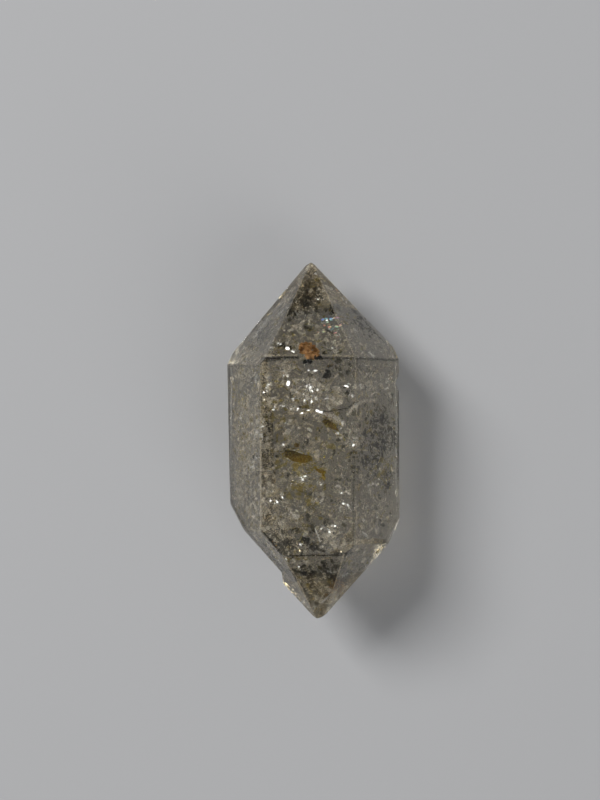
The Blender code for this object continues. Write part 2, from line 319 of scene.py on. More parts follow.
PALE_LINES_AND_EDGE_HIGHLIGHTS = (
    # Painted highlights: pale lines at the face edges and on the scar by the upper left edge
    (1.3, 0.05, 0.6, ((265.5, 355.6), (281, 355.3), (297, 355))),
    (1.3, 0.05, 0.45, ((322, 355.4), (354, 356))),
    (1.3, 0.05, 0.3, ((260.6, 380), (260.7, 440))),
    (1.4, 0.05, 0.75, ((260.6, 440), (260.4, 529))),
    (1.2, 0.05, 0.3, ((355.4, 372), (355.2, 400))),
    (1.3, 0.05, 0.5, ((356.6, 500), (356.8, 545))),
    (1.3, 0.05, 0.5, ((246, 529.4), (260, 530.2))),
    (1.8, 0.05, 0.5, ((281.3, 556), (296, 577), (307, 600), (313, 612))),
    (1.5, 0.05, 0.6, ((343.8, 554), (337.4, 577), (332, 593))),
    (1.2, 0.05, 0.35, ((266, 355), (283.5, 320), (301.7, 282))),
    (1.3, 0.05, 0.45, ((354, 355), (338, 319), (320.9, 280.6))),
    (1.6, 0.3, 0.3, ((262, 320), (255.5, 328))),
    # Pale fractures and streaks
    (3.5, 0.6, 0.55, ((347, 416), (352, 409), (358, 404), (366, 401), (377, 400.4))),
    (5, 0.6, 0.5, ((324, 413), (331, 416), (337, 421), (344, 425))),
    (1.3, 0.6, 0.6, ((306, 412.6), (316, 412.2))),
    (1.2, 0.6, 0.55, ((313, 416), (316, 413.8), (320, 414), (323, 417), (319, 419.4), (313, 416))),
    (1.2, 0.6, 0.55, ((337.7, 432.6), (344, 436.5), (351.8, 440), (357, 449.5), (372, 451))),
    (1.2, 1.5, 0.7, ((261.8, 470.5), (266, 470.2), (271.4, 468.3), (277, 465.6))),
    (2, 0.4, 0.3, ((238, 370), (237, 388))),
    (2, 0.4, 0.3, ((246, 368), (244, 385))),
    (2, 0.5, 0.6, ((363, 391), (362, 396))),
    (3, 0.5, 0.4, ((378, 370), (372, 376))),
    (1.2, 0.4, 0.6, ((321.5, 559.5), (332, 557.5))),
    (2.5, 0.5, 0.6, ((323.5, 573), (325.5, 579))),
    (1.6, 0.4, 0.6, ((349, 517.5), (354, 518.5))),
    (3, 1, 0.6, ((265, 474), (268, 478))),
)
DARK_LINES_AND_EDGE_SHADE = (
    # Painted shade: dark lines at the edges and outlines, a dark band, a line beside the scar
    (2.2, 0.12, 0.75, ((264.5, 358.2), (282, 357.4), (299, 357.2))),
    (1.8, 0.12, 0.4, ((322, 358), (354, 358.4))),
    (2, 0.12, 0.8, ((259.3, 364.2), (261.5, 361), (264.4, 357.2))),
    (3, 0.15, 0.5, ((266, 360.5), (281, 358.5))),
    (1.4, 0.12, 0.5, ((228.5, 365.8), (245, 366), (259, 365.8))),
    (2.4, 0.12, 0.9, ((357.5, 358.2), (372, 359), (398, 360.4))),
    (1.6, 0.2, 0.6, ((228.9, 368), (230.9, 500), (239.4, 517.5), (247.4, 530.5), (267.4, 555),
                     (285.4, 576))),
    (2.2, 0.2, 0.9, ((398.2, 390), (398.4, 430), (398.2, 480))),
    (1.6, 0.2, 0.45, ((302, 273), (285, 293), (263, 318.5), (244, 341), (232, 356))),
    (1.6, 0.2, 0.45, ((317, 271), (339, 293.5), (365, 321.5), (387, 345), (396, 357))),
    (1.4, 0.12, 0.3, ((353.6, 470), (353.4, 540))),
    (1.6, 0.12, 0.75, ((287, 556), (318, 555.4), (347, 555.2))),
    (2.6, 0.12, 0.8, ((334, 553.8), (348, 553.4))),
    (2, 0.12, 0.7, ((347.2, 554), (354.2, 546))),
    (1.6, 0.12, 0.8, ((261.4, 530.5), (269, 538.5), (282, 555.5))),
    (5, 0.3, 0.9, ((268, 553), (283, 569), (296, 582))),
    (2.2, 0.25, 0.6, ((272, 319), (264, 329.5), (255, 340))),
    (2, 0.25, 0.45, ((284, 303), (276, 312), (270, 317))),
    # Dark fractures and streaks
    (1.2, 0.6, 0.9, ((323, 411.5), (328, 411.6), (333, 411), (340, 409.4), (347, 408.2))),
    (1.4, 0.6, 0.5, ((347, 408), (353, 404.5), (359, 401.5))),
    (2, 0.5, 0.8, ((254, 375.5), (252, 379.5), (249.5, 384.5))),
    (1.6, 0.4, 0.6, ((252, 396), (250.5, 404))),
    (1.5, 0.4, 0.5, ((260, 397), (259.5, 404))),
    (1.3, 0.5, 0.6, ((371, 450), (375, 456), (377, 460))),
    (1.6, 0.5, 0.5, ((383, 456), (381, 461), (378, 466))),
    (1, 1.5, 0.6, ((261.8, 471.9), (271.4, 471.2), (279.7, 467.6))),
    (2, 0.4, 0.6, ((359, 366), (362, 372))),
    (2, 0.4, 0.5, ((366, 368), (372, 372))),
    (3, 0.4, 0.3, ((380, 372), (384, 380))),
)
OLIVE_LINES = (
    (1.8, 0.8, 0.7, ((332, 424), (337.7, 431.2), (343, 438), (345, 441))),
    (2, 1.5, 0.6, ((270, 470), (280, 466.5), (287, 462))),
    (1.3, 0.5, 0.55, ((303.9, 531), (301.5, 536), (298.8, 542))),
)

# The stains, which are thin films: outlines in pixels
AMBER_OUTLINE = (
    (285.2, 449.6), (289.5, 450.4), (294, 450.8), (298.8, 452.6), (303.9, 454.4), (308.4, 454.8),
    (312.4, 457.2), (310, 461), (305.2, 463), (299.5, 462.6), (294, 461.6), (289.5, 459.8),
    (286, 457.6), (284.2, 453),
)
AMBER_TAIL = ((314.6, 466.8), (317.4, 468.6), (320.4, 469.8), (326, 470.8), (325, 472.6),
              (322, 473.4), (318.6, 472.6), (316, 470.4))
AMBER_DROP = ((322.4, 472.8), (324.6, 474.6), (325, 478), (324.4, 481.6), (322.8, 479),
              (321.9, 475.6))
BROWN_STAIN = ((321.6, 421), (325.4, 418.8), (330.6, 420.8), (335.6, 424.8), (338.8, 430.8),
               (334, 429.8), (329, 427.6), (324.6, 424.8))
BROWN_SPOT = ((293.8, 444.6), (296, 443), (298.8, 443.8), (299.4, 446.2), (297, 447.8),
              (294.4, 447))

# In millimetres: a stain's depth at the left and the right end, how far each corner strays from
# that, its thickness, the longest edge of a facet, and the height and size of its wrinkles
STAIN_SEED = 17
STAIN_DEPTH = (0.26, 0.32)
STAIN_STRAY = 0.05
STAIN_THICKNESS = 0.03
STAIN_STEP = 0.25
STAIN_WRINKLE = 0.03
STAIN_WRINKLE_SIZE = 0.3

# How much light passes a stain, the amber one's colours from its lower to its upper edge, with
# noise mixed in, and the two tones of the brown ones
STAIN_PASSING = 0.36
AMBER_HEIGHT = (-1.95 * MM, -0.8 * MM)
AMBER_STOPS = ((0.1, (0.3, 0.18, 0.004)), (0.5, (0.19, 0.11, 0.003)),
               (0.72, (0.09, 0.058, 0.002)), (0.95, (0.04, 0.028, 0.004)))
AMBER_SCALE = 3000.0
AMBER_MOTTLE = 0.5
BROWN_TONES = ((0.04, 0.024, 0.003), (0.26, 0.18, 0.045))

# Rough lumps: how finely each ball is cut, and the height, fineness and shifts of its noise
LUMP_DETAIL = 2
LUMP_ROUGHNESS = 0.35
LUMP_RATE = 1.6
LUMP_SHIFTS = (-50, 50)

# The rusty crust at the top edge of the front face: middle and reach in pixels, slope, how close
# it gathers, and its lumps: half length and depth in millimetres, the rest by the half length
CRUST_SEED = 23
CRUST_MIDDLE = (309.0, 350.5)
CRUST_REACH = (9.5, 7.5)
CRUST_SLOPE = 0.25
CRUST_GATHER = 0.6
CRUST_LUMPS = 150
CRUST_SIZE = (0.06, 0.2)
CRUST_WIDTHS = (0.7, 1.1)
CRUST_HEIGHT = 0.7
CRUST_DEPTH = (0.22, 0.45)
CRUST_TONES = ((0.16, 0.065, 0.014), (0.6, 0.33, 0.13))
CRUST_SCALE = 1700.0
CRUST_ROUGHNESS = 0.7

# Dark lumps beside it: pixel, half width and half height in pixels, and how many. Depth and half
# length are in millimetres, and the shape is by the half length.
DARK_LUMPS = ((318.8, 357.4, 4.4, 1.9, 16), (307.5, 361.8, 4.8, 2.2, 14),
              (331.8, 309.5, 2.0, 4.5, 10))
DARK_LUMP_DEPTH = 0.16
DARK_LUMP_SIZE = (0.06, 0.12)
DARK_LUMP_SHAPE = (1.0, 0.8, 0.6)
DARK_LUMP_ROUGHNESS = 0.6

# Flats that mirror a light: the random turn in radians, the half size allowed by the depth and
# the least allowed, the thickness by the half width, and how ragged the rim is. Each has a few
# splinters beside it, with sizes by its own and the least in pixels.
GLINT_SEED = 8
GLINT_SPIN = 0.2
GLINT_ROOM = 2.0
LEAST_GLINT = 0.01 * MM
GLINT_THICKNESS = 0.05
GLINT_RAGGED = 0.45
GLINT_SIDES = 7
GLINT_JITTER = 0.05
GLINT_TONES = ((0.45, 0.45, 0.43), (0.9, 0.9, 0.87))
GLINT_ROUGHNESS = 0.32
SPLINTER_COUNT = 3
SPLINTER_SHARES = (0.25, 0.5)
LEAST_SPLINTER = (1.0, 0.9)

# Bright fractures read from the photo: pixel, depth in millimetres, and size in pixels
GLINTS = (
    (287.7, 348.6, 2, 7, 4), (292.1, 351.4, 2, 2, 2), (280.6, 344.1, 2.5, 2, 2),
    (332.6, 348.3, 2.2, 2.2, 2), (315.4, 370.3, 2, 5, 3), (288.3, 383.7, 2.5, 4, 6.5),
    (267.9, 385, 2, 2.4, 2.4), (263.4, 392.2, 2, 2.2, 2.8), (306.5, 385.9, 3.5, 1.6, 3.5),
    (310.3, 387.5, 3.5, 2, 2.4), (312.5, 391.3, 3.5, 1.8, 3.4), (317.6, 390.1, 3.5, 1.8, 3.6),
    (296.9, 392.6, 3, 3.4, 2.4), (293.1, 398.7, 3, 2, 2), (304.6, 400.3, 3, 2.4, 2.4),
    (311.6, 401.5, 3, 2, 2.6), (326.5, 398.4, 3, 6, 1.6), (333.9, 402.8, 3, 2, 2.4),
    (346.3, 386.2, 2, 6, 1.8), (352.7, 395.2, 2, 2.2, 2.2), (273.3, 409.6, 2, 3, 2.2),
    (283.5, 406.3, 3, 4, 1.6), (297.9, 408.8, 3, 2.4, 1.8), (318.6, 411.4, 2.5, 9, 3.6),
    (285.4, 423.2, 3, 2, 2), (263.1, 426.5, 2, 2, 2.2), (261.5, 436.2, 2, 2.4, 2.4),
    (342.8, 424.2, 3, 2, 2), (338, 433.2, 3, 2.2, 2.2), (353.3, 445.3, 2.5, 2.2, 4),
    (283.5, 444.7, 2.5, 2.2, 2.2), (304.5, 475.9, 2.5, 5, 1.8), (302.6, 479.7, 2.5, 2.6, 1.8),
    (321.1, 484.2, 3.5, 2, 1.6), (341.5, 493.1, 3, 2, 2.4), (282.6, 497.3, 2, 2, 3),
    (277.1, 502.1, 2, 3.2, 2.4), (270.4, 501.1, 2, 2.4, 2.2), (317.3, 502.4, 3.5, 2.2, 1.8),
    (343.1, 503.3, 2, 2.4, 1.8), (348, 505.3, 2, 2, 2), (335.1, 525.9, 2.5, 2.2, 2.4),
    (321.5, 528.5, 2.5, 2.6, 1.8), (329.5, 532.3, 3, 3, 2), (300.3, 544.6, 2, 2.6, 2),
    (285.6, 560, 1.5, 3.2, 2.6), (298.8, 567, 1.5, 3.6, 2.2), (271.5, 551.8, 1, 2.6, 2),
    (363.3, 534, 1.5, 3.6, 1.4), (343.2, 575.4, 1.5, 2.4, 1.8), (317.9, 299.4, 1.5, 3.4, 1.8),
    (370.6, 353.4, 1.2, 6.5, 2.4), (355.9, 330.4, 1.5, 3.4, 1.6), (252, 467, 1.5, 2, 3.6),
    (256.5, 458, 1.5, 1.6, 2.4), (257.5, 432.4, 1.5, 1.8, 3), (241.1, 418.4, 1.5, 1.6, 2.4),
    (326.8, 320.2, 2, 3, 1.8), (333.6, 318.4, 2, 2.6, 1.6), (330.2, 326.9, 2, 3.2, 1.4),
    (336, 332.6, 2, 3.4, 1.4), (342.6, 298.5, 1, 2.6, 2.2), (346.4, 301.4, 1, 1.8, 3),
    (373.6, 356.2, 1.2, 3.6, 1.8),
)

# Iridescent fractures, as painted glints in rainbow colours: pixel and size in pixels, and how
# much bigger they are built
RAINBOW = (
    (322.8, 319.5, 3.4, 2.6), (326.4, 318.6, 3, 2.4), (330.6, 318.6, 3.4, 2.8),
    (334.2, 318, 2.4, 2.2), (337.6, 317.4, 3.2, 2.4), (327.8, 322.2, 2.6, 1.8),
    (329.8, 326.6, 4.4, 2.2), (336.8, 326.4, 4.6, 2.6), (340.6, 325.2, 2, 3.4),
    (323.6, 331.6, 3, 2.4), (335.4, 332.8, 3.6, 1.8), (324.6, 325.4, 2.2, 2),
)
RAINBOW_DEPTH = 1.5
RAINBOW_GROWTH = 1.3
RAINBOW_SIDES = 6
RAINBOW_JITTER = 0.08
RAINBOW_SCALE = 1800.0
RAINBOW_ROUGHNESS = 0.35
# The painted colours of the rainbow glints
RAINBOW_STOPS = (
    (0.28, (0.3, 0.42, 0.92)), (0.42, (0.45, 0.85, 0.72)), (0.5, (0.98, 0.93, 0.62)),
    (0.58, (0.98, 0.66, 0.36)), (0.68, (0.92, 0.4, 0.36)), (0.78, (0.6, 0.48, 0.85)),
)


def new_material(name):
    material = bpy.data.materials.new(name)
    material.use_nodes = True
    tree = material.node_tree
    shader = tree.nodes["Principled BSDF"]
    return material, tree, shader


def set_inputs(node, values):
    for name, value in values.items():
        node.inputs[name].default_value = value


def add_ramp(tree, factor, stops):
    """A colour ramp with the given stops, fed by a factor."""
    ramp = tree.nodes.new("ShaderNodeValToRGB")
    elements = ramp.color_ramp.elements
    while len(elements) < len(stops):
        elements.new(0.5)
    for element, (place, colour) in zip(elements, stops):
        element.position = place
        element.color = (*colour, 1.0)
    tree.links.new(factor, ramp.inputs["Fac"])
    return ramp.outputs["Color"]


def add_noise(tree, scale, detail=2.0):
    """Noise in the space of the object, so many lumps to a metre."""
    where = tree.nodes.new("ShaderNodeTexCoord")
    texture = tree.nodes.new("ShaderNodeTexNoise")
    set_inputs(texture, {"Scale": scale, "Detail": detail})
    tree.links.new(where.outputs["Object"], texture.inputs["Vector"])
    return texture.outputs["Fac"]


def make_clear(tree, shader, ior, dull):
    """Lets all light through a shader that bends it, with dull spots here and there."""
    set_inputs(shader, {"Base Color": CLEAR, "IOR": ior, "Transmission Weight": 1.0})
    tree.links.new(dull, shader.inputs["Roughness"])


def make_thin(shader, passing):
    """Lets a share of the light straight through a shader, tinted but not bent."""
    set_inputs(shader, {"Roughness": 0.0, "IOR": 1.0, "Transmission Weight": passing})


def mottled(tree, scale, tones):
    """A colour that changes from lump to lump between two tones."""
    return add_ramp(tree, add_noise(tree, scale), tuple(zip(TONE_STOPS, tones)))


def quartz_material():
    """Smoky clear quartz: light goes through, and long paths through it darken."""
    material, tree, shader = new_material("smoky_quartz")
    make_clear(tree, shader, QUARTZ_IOR,
               add_ramp(tree, add_noise(tree, POLISH_SCALE, 4.0), POLISH_STOPS))
    bump = tree.nodes.new("ShaderNodeBump")
    set_inputs(bump, {"Strength": BUMP_STRENGTH, "Distance": BUMP_HEIGHT})
    tree.links.new(add_noise(tree, BUMP_SCALE, 3.0), bump.inputs["Height"])
    tree.links.new(bump.outputs["Normal"], shader.inputs["Normal"])
    absorb = tree.nodes.new("ShaderNodeVolumeAbsorption")
    set_inputs(absorb, {"Color": (*QUARTZ_TINT, 1.0), "Density": QUARTZ_DENSITY})
    output = tree.nodes["Material Output"]
    tree.links.new(absorb.outputs["Volume"], output.inputs["Volume"])
    return material


def flake_material():
    """Clear flakes that bend the light, as the fluid-filled gaps of a healed fracture do."""
    material, tree, shader = new_material("healed_fracture")
    make_clear(tree, shader, FLAKE_IOR,
               add_ramp(tree, add_noise(tree, FLAKE_SCALE), FLAKE_STOPS))
    return material


def grain_material(name, tones, roughness=GRAIN_ROUGHNESS, metallic=0.0, scale=GRAIN_SCALE):
    """A grainy colour that changes from grain to grain between two tones."""
    material, tree, shader = new_material(name)
    tree.links.new(mottled(tree, scale, tones), shader.inputs["Base Color"])
    set_inputs(shader, {"Roughness": roughness, "Metallic": metallic,
                        "Specular IOR Level": GRAIN_SPECULAR})
    return material


def film_material(name, tones, passing):
    """A thin film that shows some of its own colour and tints the light that passes it."""
    material, tree, shader = new_material(name)
    tree.links.new(mottled(tree, FILM_SCALE, tones), shader.inputs["Base Color"])
    make_thin(shader, passing)
    return material


def amber_material():
    """Iron oxide in a film: golden below, dark along its upper edge."""
    material, tree, shader = new_material("amber_film")
    where = tree.nodes.new("ShaderNodeTexCoord")
    split = tree.nodes.new("ShaderNodeSeparateXYZ")
    tree.links.new(where.outputs["Object"], split.inputs["Vector"])
    height = tree.nodes.new("ShaderNodeMapRange")
    low, high = AMBER_HEIGHT
    set_inputs(height, {"From Min": low, "From Max": high})
    tree.links.new(split.outputs["Y"], height.inputs["Value"])
    mottle = tree.nodes.new("ShaderNodeMath")
    mottle.operation = "MULTIPLY_ADD"
    mottle.inputs[1].default_value = AMBER_MOTTLE
    tree.links.new(add_noise(tree, AMBER_SCALE), mottle.inputs[0])
    tree.links.new(height.outputs["Result"], mottle.inputs[2])
    lower = tree.nodes.new("ShaderNodeMath")
    lower.operation = "SUBTRACT"
    lower.inputs[1].default_value = AMBER_MOTTLE / 2
    tree.links.new(mottle.outputs["Value"], lower.inputs[0])
    colour = add_ramp(tree, lower.outputs["Value"], AMBER_STOPS)
    tree.links.new(colour, shader.inputs["Base Color"])
    make_thin(shader, STAIN_PASSING)
    return material


def rainbow_material():
    """Thin gaps that split the light, as painted glints: a colour of the rainbow to each facet."""
    material, tree, shader = new_material("rainbow_fracture")
    colour = add_ramp(tree, add_noise(tree, RAINBOW_SCALE, 0.0), RAINBOW_STOPS)
    tree.links.new(colour, shader.inputs["Base Color"])
    set_inputs(shader, {"Roughness": RAINBOW_ROUGHNESS, "Specular IOR Level": GRAIN_SPECULAR})
    return material


def floor_material():
    material, tree, shader = new_material("pale_floor")
    set_inputs(shader, {"Base Color": (*FLOOR_COLOUR, 1.0), "Roughness": 0.9,
                        "Specular IOR Level": 0.1})
    return material


def new_object(name, data):
    made = bpy.data.objects.new(name, data)
    bpy.context.scene.collection.objects.link(made)
    return made


def finished_mesh(work, name):
    """The mesh of what has been worked out, which is then let go."""
    mesh = bpy.data.meshes.new(name)
    work.to_mesh(mesh)
    work.free()
    return mesh


def link_piece(name, mesh):
    piece = new_object(name, mesh)
    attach(piece, "root")
    return piece


def add_inclusion(name, mesh, material):
    mesh.materials.append(material)
    return link_piece(name, mesh)


def node_surface(node):
    """The solid's surface, for finding where a ray meets it and what lies inside it."""
    work = bmesh.new()
    work.from_mesh(node.data)
    tree = BVHTree.FromBMesh(work)
    work.free()
    return tree


def fine_faces(work, reach):
    """Cuts every edge longer than the reach in two, and again, until none is left."""
    bmesh.ops.triangulate(work, faces=work.faces)
    for _ in range(MOST_HALVINGS):
        long = [edge for edge in work.edges if edge.calc_length() > reach]
        if not long:
            break
        bmesh.ops.subdivide_edges(work, edges=long, cuts=1)
        bmesh.ops.triangulate(work, faces=[face for face in work.faces if len(face.verts) > 3])


def relief(place, normal):
    """Height of the low growth relief: striations across the prism, hillocks elsewhere."""
    along = place.y / MM
    drift = noise.noise(place / (DRIFT_SIZE * MM) + Vector((0.0, 0.0, 4.0)))
    broad, small = (noise.noise(place / (size * MM)) for size in HILLOCK_SIZES)
    height = HILLOCK_HEIGHT * (broad + 0.5 * small)
    if abs(normal.y) < PRISM_LEAN:
        fine, coarse = STRIATION_RATES
        height += STRIATION_HEIGHT * (0.5 + drift) * math.sin(fine * along + 3.0 * drift)
        height += STRIATION_HEIGHT * math.sin(coarse * along + 5.0 * drift)
    return height * MM


def make_crystal():
    """The see-through body: the solid's faces, cut fine and given the low relief of growth."""
    work = bmesh.new()
    work.from_mesh(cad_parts[CRYSTAL_NODE].data)
    bmesh.ops.remove_doubles(work, verts=work.verts, dist=WELD)
    fine_faces(work, RELIEF_STEP * MM)
    work.normal_update()
    flat = math.radians(FLAT_ANGLE)
    moves = []
    for vert in work.verts:
        if all(edge.calc_face_angle(1.0) < flat for edge in vert.link_edges):
            moves.append((vert, vert.normal * relief(vert.co, vert.normal)))
    for vert, move in moves:
        vert.co += move - vert.normal * HILLOCK_HEIGHT * MM
    mesh = finished_mesh(work, "crystal_body")
    mesh.materials.clear()
    mesh.materials.append(quartz_material())
    mesh.shade_smooth()
    mesh.set_sharp_from_angle(angle=math.radians(SHARP_ANGLE))
    body = link_piece("crystal_body", mesh)
    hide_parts(CRYSTAL_NODE)
    return body


def photo_ray(u, v):
    """The camera's place and the direction of the view through pixel u, v of the photo."""
    turned = bpy.context.scene.camera.matrix_world
    across = (u - PHOTO_WIDTH / 2) / FOCAL_PIXELS
    upward = (PHOTO_HEIGHT / 2 - v) / FOCAL_PIXELS
    return turned.translation, (turned.to_3x3() @ Vector((across, upward, -1.0))).normalized()


def bend(ray, normal, ratio):
    """Snell's law for a ray that enters a denser medium, with the ratio of the two indices."""
    cosine = -normal.dot(ray)
    inner = math.sqrt(1.0 - ratio * ratio * (1.0 - cosine * cosine))
    return (ratio * ray + (ratio * cosine - inner) * normal).normalized()


def inside(u, v, depth):
    """The point that shows at pixel u, v that many millimetres into the quartz, and the face."""
    start, ray = photo_ray(u, v)
    hit, normal, _, _ = surface.ray_cast(start, ray)
    if hit is None:
        return None, None
    inner = bend(ray, normal, 1.0 / QUARTZ_IOR)
    _, _, _, length = surface.ray_cast(hit + inner * NUDGE * MM, inner)
    if length is None or length < THIN_PATH:
        return None, None
    return hit + inner * min(depth * MM, PATH_SHARE * length), normal


def random_inside(count, rng, margin):
    """Points spread evenly through the crystal, none nearer than the margin to its surface."""
    low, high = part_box(CRYSTAL_NODE)
    low, high = np.array(low), np.array(high)
    kept = []
    while len(kept) < count:
        for place in rng.uniform(low, high, (count, 3)):
            point = Vector(place)
            near, normal, _, distance = surface.find_nearest(point)
            if (point - near).dot(normal) < 0.0 and distance > margin:
                kept.append(place)
    return np.array(kept[:count])


def depths(places):
    """How deep each place lies under the nearest face; less than nothing outside the crystal."""
    found = []
    for place in places:
        point = Vector(place)
        near, normal, _, distance = surface.find_nearest(point)
        found.append(distance if (point - near).dot(normal) < 0.0 else -distance)
    return np.array(found)


def with_room(places, size):
    """Keeps the places with room around them, and shrinks each size to the room it has."""
    room = depths(places)
    keep = room > LEAST_ROOM
    return places[keep], np.minimum(size, ROOM_SHARE * room)[keep]


def grown(sizes, share):
    """Sizes in metres, from the smaller of the two at share 0 to the bigger at share 1."""
    low, high = sizes
    return low * (high / low) ** share * MM


def unit(rows):
    """Every row of the array at length 1."""
    return rows / np.linalg.norm(rows, axis=1)[:, None]


def drifts(places, size, shift):
    """Noise between about -1 and 1 at each place, with lumps of that many millimetres."""
    return np.array([noise.noise(Vector(place) / (size * MM) + shift) for place in places])


def spread_inside(marks):
    """The points inside the crystal that show at the given pixels and depths."""
    found = [inside(*mark)[0] for mark in marks]
    return np.array([place for place in found if place is not None])


def clump(places, rng, shift):
    """Thins the places out by noise, so that grains stand in small clumps."""
    chance = drifts(places, CLUMP_SIZE, shift)
    return places[rng.uniform(*CLUMP_RANGE, len(places)) < chance]


def cloud_points(cloud, rng, cover):
    """Places in a soft round cloud, thickest at its middle, for bodies that cover so much each."""
    u, v, half_u, half_v, turn, near, far, share = cloud
    count = int(CLOUD_STRENGTH * share * math.pi * half_u * half_v / cover) + 1
    across = half_u * CLOUD_SPREAD * rng.normal(size=count)
    down = half_v * CLOUD_SPREAD * rng.normal(size=count)
    angle = math.radians(turn)
    marks = zip(u + across * math.cos(angle) + down * math.sin(angle),
                v - across * math.sin(angle) + down * math.cos(angle),
                DEPTH_SHARE * rng.uniform(near, far, count))
    places = spread_inside(marks)
    return clump(places, rng, Vector((u, v, 0.0))) if len(places) else places


def line_points(line, rng):
    """Places along a line through the given pixels, thickest at its middle."""
    width, depth, share, corners = line
    marks = []
    for (u, v), (next_u, next_v) in zip(corners, corners[1:]):
        length = math.hypot(next_u - u, next_v - v)
        count = int(LINE_STRENGTH * share * length * width / FINE_COVER)
        along = rng.random(count)
        aside = rng.normal(size=count) * width * LINE_SPREAD
        marks += zip(u + along * (next_u - u) - aside * (next_v - v) / length,
                     v + along * (next_v - v) + aside * (next_u - u) / length,
                     depth * rng.uniform(*LINE_DEPTHS, count))
    return spread_inside(marks)


def closed_mesh(name, points, faces, count):
    """One mesh of many like bodies: points of each, and the faces of the first."""
    each = points.reshape(count, -1, 3).shape[1]
    faces = (np.arange(count)[:, None, None] * each + np.array(faces)[None]).reshape(-1, 3)
    mesh = bpy.data.meshes.new(name)
    mesh.from_pydata(points.reshape(-1, 3).tolist(), [], faces.tolist())
    mesh.update()
    return mesh


def plates_mesh(name, places, normals, long, short, thick, rng, sides, ragged, spin=None):
    """One mesh of small closed plates, each with a ragged rim and a low point on either side."""
    count = len(places)
    normals = unit(normals)
    other = np.where(np.abs(normals[:, :1]) < 0.9, [[1.0, 0.0, 0.0]], [[0.0, 1.0, 0.0]])
    across = unit(np.cross(normals, other))
    along = np.cross(normals, across)
    spin = (rng.uniform(0.0, math.tau, count) if spin is None else spin)[:, None]
    first = across * np.cos(spin) + along * np.sin(spin)
    second = np.cross(normals, first)
    points = np.zeros((count, sides + 2, 3))
    for k in range(sides):
        angle = math.tau * k / sides
        reach = rng.uniform(1.0 - ragged, 1.0, count)[:, None]
        rim = (first * (long * math.cos(angle))[:, None]
               + second * (short * math.sin(angle))[:, None])
        points[:, k] = places + reach * rim
    points[:, sides] = places + normals * thick[:, None]
    points[:, sides + 1] = places - normals * thick[:, None]
    faces = []
    for k in range(sides):
        after = (k + 1) % sides
        faces += [(k, after, sides), (after, k, sides + 1)]
    return closed_mesh(name, points, faces, count)


def films_mesh(name, places, rng):
    """One mesh of thin ragged films, turned every way."""
    places, size = with_room(places, grown(FILM_SIZE, rng.random(len(places))))
    count = len(places)
    return plates_mesh(name, places, rng.normal(size=(count, 3)), size,
                       size * rng.uniform(*FILM_WIDTHS, count), size * FILM_THICKNESS, rng,
                       FILM_SIDES, FILM_RAGGED)


def grains_mesh(name, places, rng):
    """One mesh of fine grains, each a small four-sided lump of its own size and turn."""
    places, size = with_room(places, grown(FINE_SIZE, rng.random(len(places)) ** 2))
    count = len(places)
    corners = np.array(((1.0, 1.0, 1.0), (1.0, -1.0, -1.0), (-1.0, 1.0, -1.0), (-1.0, -1.0, 1.0)))
    first = unit(rng.normal(size=(count, 3)))
    second = unit(np.cross(first, rng.normal(size=(count, 3))))
    axes = np.stack((first, second, np.cross(first, second)), axis=1)
    points = np.einsum("ck,nkd->ncd", corners / math.sqrt(3.0), axes)
    points = places[:, None] + points * size[:, None, None]
    return closed_mesh(name, points, ((0, 1, 2), (0, 3, 1), (0, 2, 3), (1, 3, 2)), count)


def drifting(tries, seed, lean, sizes):
    """Places all through the crystal, thicker in drifting clouds."""
    rng = np.random.default_rng(seed)
    spread = random_inside(tries, rng, HAZE_MARGIN)
    shift = Vector((seed, 0.0, 3.0))
    coarse, fine = sizes
    chance = drifts(spread, coarse, shift) + FINE_DRIFT_SHARE * drifts(spread, fine, -shift)
    # Pale kinds lean to -X as painted light on the left, dark ones to +X as painted shade
    chance += lean * spread[:, 0] / HALF_WIDTH
    return spread[rng.uniform(*HAZE_RANGE, len(spread)) < chance], rng


def add_grains(name, places, rng, tones):
    add_inclusion(name, grains_mesh(name, places, rng), grain_material(name, tones))


def add_films(name, places, rng, kind):
    tones, passing, slot = FILMS[kind]
    add_inclusion(name, films_mesh(name, places, rng), film_material(name, tones, passing))


def make_haze():
    """Fine inclusions all through the crystal: pale and dark grains, and thin films."""
    for name, tries, seed, lean, tones, slot in GRAIN_HAZE:
        places, rng = drifting(tries, seed, lean, GRAIN_DRIFTS)
        add_grains(name, places, rng, tones)
    for kind, tries, seed, lean in FILM_HAZE:
        places, rng = drifting(tries, seed, lean, FILM_DRIFTS)
        add_films(kind + "_film_haze", places, rng, kind)


